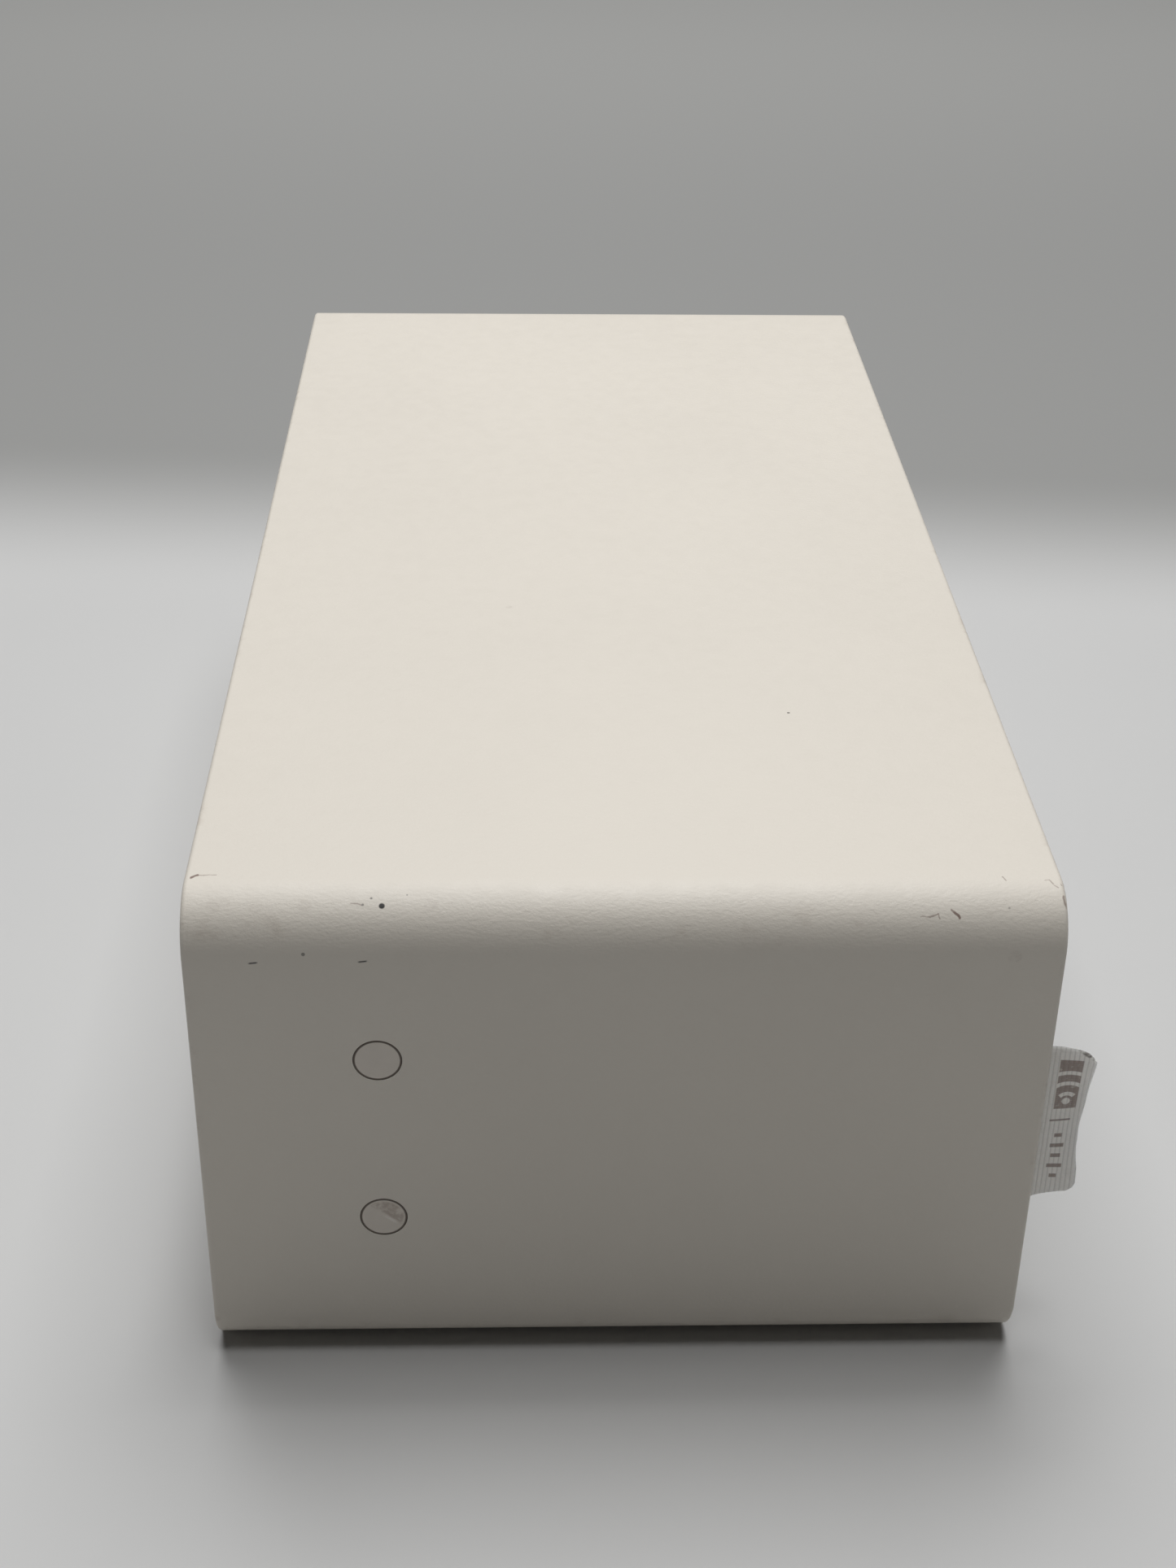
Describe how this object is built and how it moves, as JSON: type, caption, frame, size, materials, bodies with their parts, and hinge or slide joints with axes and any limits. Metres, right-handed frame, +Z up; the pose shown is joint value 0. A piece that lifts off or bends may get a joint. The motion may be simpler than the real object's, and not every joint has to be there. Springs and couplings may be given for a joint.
{
  "type": "wireless bookshelf loudspeaker",
  "caption": "White box loudspeaker with a wireless music player, lying on its side: cloth grille with a woven tag, control strip, rear sockets and bass port, and plugged wall-bracket fixings.",
  "frame": {"origin": "middle of the flat side that the loudspeaker lies on", "axes": "+X out of the grille, +Y along the cabinet from the plug end to the control end, +Z up"},
  "size_m": [0.158, 0.31, 0.1],
  "materials": {
    "white_plastic": "fine matt texture",
    "plug_silicone": "matt silicone",
    "grille_cloth": "knitted polyester",
    "tag_ribbon": "ribbed woven ribbon",
    "white_button": "satin",
    "black_plastic": "matt moulded",
    "grey_plastic": "matt moulded",
    "black_rubber": "matt",
    "foam": "open foam and felt",
    "paper_cone": "pressed paper",
    "cloth_spider": "treated cotton",
    "copper_coil": "copper-clad aluminium winding",
    "steel": "plated",
    "ferrite": "sintered",
    "brass": "turned",
    "aluminium": "extruded",
    "circuit_board": "solder resist",
    "winding_tape": "polyester tape",
    "capacitor_sleeve": "shrunk sleeve",
    "clear_lens": "clear",
    "wire_jacket": "soft PVC"
  },
  "bodies": {
    "cabinet": {"amplifier_heat_sink": "aluminium", "baffle_gasket": "foam", "bass_port_tube": "black_plastic", "bracket_insert_lower": "brass", "bracket_insert_upper": "brass", "button_board": "circuit_board", "button_cable": "wire_jacket", "cabinet_sleeve": "white_plastic", "connection_bay": "grey_plastic", "control_strip": "white_plastic", "damping_pad": "foam", "ethernet_jack": "steel", "filter_capacitor": "capacitor_sleeve", "front_baffle": "black_plastic", "keypad_membrane": "black_rubber", "main_board": "circuit_board", "mains_inlet": "black_plastic", "mains_lead": "wire_jacket", "mains_transformer": "winding_tape", "power_board": "circuit_board", "processor_shield": "steel", "rear_panel": "grey_plastic", "rear_screw_1": "steel", "rear_screw_2": "steel", "rear_screw_3": "steel", "rear_screw_4": "steel", "status_lens": "clear_lens", "tweeter_faceplate": "black_plastic", "tweeter_lead": "wire_jacket", "tweeter_magnet": "ferrite", "tweeter_screw_1": "steel", "tweeter_screw_2": "steel", "tweeter_top_plate": "steel", "tweeter_yoke": "steel", "woofer_basket": "black_plastic", "woofer_gasket": "foam", "woofer_lead": "wire_jacket", "woofer_magnet": "ferrite", "woofer_screw_1": "steel", "woofer_screw_2": "steel", "woofer_screw_3": "steel", "woofer_screw_4": "steel", "woofer_spider": "cloth_spider", "woofer_surround": "black_rubber", "woofer_top_plate": "steel", "woofer_yoke": "steel"},
    "grille": {"grille_frame": "black_plastic", "grille_cloth": "grille_cloth", "label_tag": "tag_ribbon"},
    "play_key": {"play_button": "white_button"},
    "volume_up_key": {"volume_up_button": "white_button"},
    "volume_down_key": {"volume_down_button": "white_button"},
    "woofer_moving_parts": {"woofer_cone": "paper_cone", "woofer_dust_cap": "black_rubber", "woofer_voice_coil": "copper_coil"},
    "tweeter_moving_parts": {"tweeter_dome": "black_rubber"},
    "upper_plug": {"end_plug_upper": "plug_silicone"},
    "lower_plug": {"end_plug_lower": "plug_silicone"}
  },
  "joints": [
    {"name": "grille_pull", "type": "slide", "parent": "cabinet", "child": "grille", "axis": [1, 0, 0], "range_m": [0, 0.08]},
    {"name": "play_press", "type": "slide", "parent": "cabinet", "child": "play_key", "axis": [-1, 0, 0], "range_m": [0, 0.0005], "stiffness_N_per_m": 2500},
    {"name": "volume_up_press", "type": "slide", "parent": "cabinet", "child": "volume_up_key", "axis": [-1, 0, 0], "range_m": [0, 0.0005], "stiffness_N_per_m": 2500},
    {"name": "volume_down_press", "type": "slide", "parent": "cabinet", "child": "volume_down_key", "axis": [-1, 0, 0], "range_m": [0, 0.0005], "stiffness_N_per_m": 2500},
    {"name": "woofer_excursion", "type": "slide", "parent": "cabinet", "child": "woofer_moving_parts", "axis": [1, 0, 0], "range_m": [-0.003, 0.003], "stiffness_N_per_m": 1500, "deforming": ["woofer_surround", "woofer_spider"]},
    {"name": "tweeter_excursion", "type": "slide", "parent": "cabinet", "child": "tweeter_moving_parts", "axis": [1, 0, 0], "range_m": [-0.0003, 0.0003], "stiffness_N_per_m": 1500},
    {"name": "upper_plug_pull", "type": "slide", "parent": "cabinet", "child": "upper_plug", "axis": [0, -1, 0], "range_m": [0, 0.014]},
    {"name": "lower_plug_pull", "type": "slide", "parent": "cabinet", "child": "lower_plug", "axis": [0, -1, 0], "range_m": [0, 0.014]}
  ]
}
